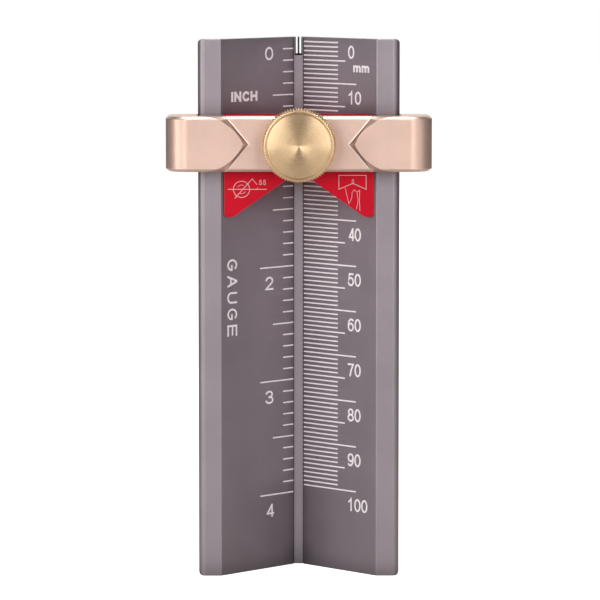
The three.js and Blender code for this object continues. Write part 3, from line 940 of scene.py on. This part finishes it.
def shoe():
    """A prism that fits the V, cut to an inverted V between two round-ended ears and stepped on top."""
    back, tip = SHOE_BACK, SHOE_TIP_HALF
    plan = [(-SHOE_HALF, SHOE_FRONT), (SHOE_HALF, SHOE_FRONT), (tip, back), (-tip, back)]
    rings = [[(x, y, z) for x, y in plan] for z in (SHOE_LOW.z - 1, SHOE_HIGH.z + 1)]
    body = add_object("shoe", loft("shoe", rings), RED)
    foot = SHOE_APEX - EAR_INNER * SHOE_SLOPE
    ear_low = SHOE_LOW.z + 0.3
    ear_foot = EAR_INNER + (foot - ear_low) / SHOE_SLOPE
    right = [
        (ear_foot, ear_low, 1.5),
        (SHOE_HALF, ear_low, 0.9),
        (SHOE_HALF, SHOE_HIGH.z, 0.3),
    ]
    left = [(-a, b, radius) for a, b, radius in reversed(right)]
    outline = rounded([(0, SHOE_APEX, 0.2)] + right + left, 10)
    sides = (SHOE_FRONT - 1, SHOE_BACK + 1)
    boolean(body, loft("outline", [[(p.x, y, p.y) for p in outline] for y in sides]), "INTERSECT")
    step = (SHOE_STEP, SHOE_HIGH.z + 1)
    boolean(body, block(-MOUTH_HALF, MOUTH_HALF, SHOE_PLATE_BACK, SHOE_BACK + 1, *step))
    front = SHOE_FRONT * MM + FLANGE_Y
    near = 1e-6

    def on_front(edge):
        return all(abs(vert.co.y - front) < near for vert in edge.verts) and edge.calc_face_angle() > 0.3

    bevel_edges(body, on_front, 0.15)
    drill(body, WASHER_HIGH.x + FIT_GAP, 0, SHOE_FRONT + WASHER_RECESS)
    drill(body, CLIP_POCKET, SHOE_WEB_BACK, SHOE_BACK + 1)
    drill(body, SCREW_TIP_RADIUS + RUN_GAP, 0, SHOE_BACK + 1)
    for side in (-1, 1):
        drill(body, PIN_RADIUS + RUN_GAP, 0, PIN_HOLE_BACK, side * PIN_OFFSET)
    smooth(body, 28)
    finish(body, "shoe", "red_anodised", "v_shoe")


# ------------------------------------------------------------ knob


def knob():
    """(radius, y, share of the tooth depth) turned into a coin-edged knob with a ring round its face."""
    front, back = KNOB_FRONT, KNOB_BACK
    face, edge = KNOB_FACE_RADIUS, KNOB_FRONT + 0.15
    rim, groove = face + KNOB_GROOVE, edge + 0.4
    bore = SCREW_RADIUS + FIT_GAP
    rounded_rim = [
        (
            KNOB_RADIUS - KNOB_ROUND * (1 - math.sin(t)),
            edge + KNOB_ROUND * (1 - math.cos(t)),
            t / math.pi * 2,
        )
        for t in quarter(6)
    ]
    profile = [
        (0, front + 0.08, 0),
        (0.2, front, 0),
        (face * 0.5, (front + edge) / 2, 0),
        (face - 0.15, edge, 0),
        (face - 0.04, edge + 0.03, 0),
        (face, edge + 0.12, 0),
        (face + 0.02, groove, 0),
        (rim - 0.02, groove, 0),
        (rim, edge + 0.1, 0),
        (rim + 0.06, edge, 0),
        *rounded_rim,
        (KNOB_RADIUS, back - 0.5, 1),
        (KNOB_RADIUS - 0.12, back - 0.2, 0.7),
        (KNOB_RADIUS - 0.45, back, 0),
        (bore, back, 0),
        (bore, SCREW_LOW.y - FIT_GAP, 0),
        (0, SCREW_LOW.y - FIT_GAP, 0),
    ]

    def radius_at(index, radius, _, angle):
        tooth = (KNOB_TEETH * angle / (2 * math.pi)) % 1
        valley = 1 - min(1, abs(2 * tooth - 1) * 1.25)
        return radius - KNOB_TOOTH_DEPTH * valley * profile[index][2]

    mesh = lathe("knob", [(r, y) for r, y, _ in profile], KNOB_TEETH * 8, radius_at)
    body = add_object("knob", mesh, BRASS)
    smooth(body, 28)
    finish(body, "clamp", "knob_brass", "knob")


# ------------------------------------------------------------ clamp's small parts


def thread_wave(y, angle):
    """0 on the thread's crest and 1 at its root, flat for a while on both."""
    turn = (y / THREAD_PITCH + angle / (2 * math.pi)) % 1
    return min(1, max(0, abs(2 * turn - 1) * 1.4 - 0.2))


def levels(low, high, step):
    """Evenly spaced values from low to high, about a step apart."""
    count = round((high - low) / step)
    return [low + (high - low) * i / count for i in range(count + 1)]


def clamp_screw():
    tip, end = SCREW_TIP_RADIUS, SCREW_HIGH.y
    thread_front, thread_back = KNOB_BACK, SCREW_SHOULDER - 0.4
    groove_front, groove_back = CLIP_LOW.y - FIT_GAP, CLIP_HIGH.y + FIT_GAP
    front = SCREW_LOW.y
    profile = [(0, front), (SCREW_RADIUS - 0.2, front), (SCREW_RADIUS, front + 0.2)]
    thread_levels = levels(thread_front, thread_back, THREAD_STEP)
    threaded = range(len(profile), len(profile) + len(thread_levels))
    profile += [(SCREW_RADIUS, y) for y in thread_levels]
    profile += [
        (SCREW_RADIUS - THREAD_DEPTH, SCREW_SHOULDER - 0.1),
        (SCREW_RADIUS - THREAD_DEPTH - 0.05, SCREW_SHOULDER),
        (tip, SCREW_SHOULDER),
        (tip, groove_front),
        (SCREW_GROOVE_RADIUS, groove_front),
        (SCREW_GROOVE_RADIUS, groove_back),
        (tip, groove_back),
        (tip, end - 0.3),
        (tip - 0.1, end - 0.1),
        (tip - 0.3, end),
        (0, end),
    ]

    def radius_at(index, radius, y, angle):
        if index not in threaded:
            return radius
        run_out = min(1, (y - thread_front) / 0.4)
        return radius - THREAD_DEPTH * thread_wave(y, angle) * run_out

    body = add_object("screw", lathe("screw", profile, 64, radius_at), STEEL)
    smooth(body, 35)
    finish(body, "clamp", "steel", "clamp_screw")


def thread_insert():
    front, back = INSERT_LOW.y, INSERT_HIGH.y
    rim, edge = INSERT_HIGH.x, 0.12
    flange = back - INSERT_FLANGE
    outside = [
        (INSERT_RADIUS - edge, front),
        (INSERT_RADIUS, front + edge),
        (INSERT_RADIUS, flange),
        (rim - edge, flange),
        (rim, flange + edge),
        (rim, back - edge),
        (rim - edge, back),
    ]
    bore = [(SCREW_RADIUS + RUN_GAP, y) for y in reversed(levels(front, back, THREAD_STEP))]

    def radius_at(index, radius, y, angle):
        if index < len(outside):
            return radius
        from_end = min(y - front, back - y)
        return radius - THREAD_DEPTH * thread_wave(y, angle) * min(1, from_end / 0.3)

    body = add_object("insert", lathe("insert", outside + bore, 64, radius_at), INSERT)
    smooth(body, 35)
    finish(body, "head", "insert_brass", "thread_insert")


def guide_pins():
    front, back, edge = PIN_LOW.y, PIN_HIGH.y, 0.2
    profile = [
        (0, front),
        (PIN_RADIUS - edge, front),
        (PIN_RADIUS, front + edge),
        (PIN_RADIUS, back - edge),
    ]
    for t in quarter(3)[1:]:
        profile.append((PIN_RADIUS - edge * (1 - math.cos(t)), back - edge * (1 - math.sin(t))))
    profile.append((0, back))
    for side, name in ((-1, "left"), (1, "right")):
        mesh = lathe(f"pin_{name}", profile, 32, across=side * PIN_OFFSET)
        body = add_object(f"pin_{name}", mesh, STEEL)
        smooth(body, 35)
        finish(body, "head", "steel", f"guide_pin_{name}")


def thrust_washer():
    front, back = WASHER_LOW.y, WASHER_HIGH.y
    inner, outer, edge = SCREW_TIP_RADIUS + RUN_GAP, WASHER_HIGH.x, 0.08
    profile = [
        (inner + edge, front),
        (outer - edge, front),
        (outer, front + edge),
        (outer, back - edge),
        (outer - edge, back),
        (inner + edge, back),
        (inner, back - edge),
        (inner, front + edge),
    ]
    body = add_object("washer", lathe("washer", profile, 64), POLYMER)
    smooth(body, 25)
    finish(body, "shoe", "washer_polymer", "thrust_washer")


def retaining_clip():
    """An open ring with rounded edges, its opening downwards."""
    opening = 35
    start, end = opening - 90, 270 - opening
    outer = arc(0, 0, CLIP_HIGH.x, CLIP_HIGH.x, start, end, 60)
    inner_radius = SCREW_GROOVE_RADIUS + FIT_GAP
    inner = arc(0, 0, inner_radius, inner_radius, end, start, 40)
    outline = [Vector(p) for p in outer + inner]
    rings = []
    for y, shrink in edge_levels(CLIP_LOW.y, CLIP_HIGH.y, 0.1):
        rings.append([(p.x, y, HEAD_CENTRE + p.y) for p in inset(outline, shrink)])
    body = add_object("clip", loft("clip", rings), STEEL)
    smooth(body, 35)
    finish(body, "clamp", "steel", "retaining_clip")


# ------------------------------------------------------------ studio


def studio():
    """A white floor that only the camera sees as white, a dim warm world and nine softboxes."""
    span = 30.0
    mesh = bpy.data.meshes.new("floor")
    corners = [(-span, -span, 0), (span, -span, 0), (span, span, 0), (-span, span, 0)]
    mesh.from_pydata(corners, [], [(0, 1, 2, 3)])
    floor = bpy.data.objects.new("floor", mesh)
    bpy.context.scene.collection.objects.link(floor)
    shader = Shader("floor")
    shader.set(Base_Color=(0.7, 0.66, 0.63), Roughness=0.8)
    seen = shader.node("ShaderNodeLightPath").outputs["Is Camera Ray"]
    shader.surface.inputs["Emission Color"].default_value = (1, 1, 1, 1)
    shader.link(shader.math("MULTIPLY", seen, 1.0), shader.surface.inputs["Emission Strength"])
    mesh.materials.append(shader.material)

    world = bpy.data.worlds.new("studio")
    world.use_nodes = True
    world.node_tree.nodes["Background"].inputs["Color"].default_value = (1, 0.9, 0.8, 1)
    world.node_tree.nodes["Background"].inputs["Strength"].default_value = 0.01
    bpy.context.scene.world = world

    target = Vector((0, FLANGE_Y, 0.06))
    softbox("left", (-0.85, -0.5, 0.30), target, 0.4, 0.8, 3.50)
    softbox("right", (0.85, -0.5, 0.30), target, 0.4, 0.8, 1.01)
    softbox("left corner", (-0.55, -0.75, 0.36), target, 0.4, 0.8, 1.06)
    softbox("right corner", (0.55, -0.75, 0.34), target, 0.4, 0.8, 0.95)
    softbox("front left", (-0.33, -0.95, 0.30), target, 0.3, 0.7, 2.12)
    softbox("front right", (0.33, -0.95, 0.30), target, 0.3, 0.7, 1.96)
    softbox("front", (0, -1.4, 0.55), target, 0.9, 0.6, 0.95)
    softbox("zenith", (0, 0.02, 0.95), target, 0.5, 0.4, 4.77)
    softbox("back", (0, 1.0, 0.5), target, 0.9, 0.6, 2.12)


def softbox(name, position, target, width, height, power):
    """An area light in metres and watts, turned towards the target."""
    light = bpy.data.lights.new(name, "AREA")
    light.shape = "RECTANGLE"
    light.size = width
    light.size_y = height
    light.energy = power
    holder = bpy.data.objects.new(name, light)
    bpy.context.scene.collection.objects.link(holder)
    holder.location = position
    holder.rotation_euler = (target - Vector(position)).to_track_quat("-Z", "Y").to_euler()


def camera():
    """A long lens a little under a metre in front of the rule, looking down about six degrees."""
    data = bpy.data.cameras.new("camera")
    data.sensor_width = 36.0
    data.lens = 239.9
    data.clip_end = 100.0
    holder = bpy.data.objects.new("camera", data)
    bpy.context.scene.collection.objects.link(holder)
    direction = Vector((0.0035, 0.9949, -0.1004))
    holder.location = Vector((-0.0028, -0.8704 + FLANGE_Y, LENGTH * MM + 0.0309))
    holder.rotation_euler = direction.to_track_quat("-Z", "Y").to_euler()
    bpy.context.scene.camera = holder
    view = bpy.context.scene.view_settings
    view.view_transform = "Standard"
    view.look = "None"


rule()
millimetre_scale()
notch_paint()
inch_scale()
head()
shoe()
pictograms()
knob()
clamp_screw()
thread_insert()
guide_pins()
thrust_washer()
retaining_clip()
studio()
camera()
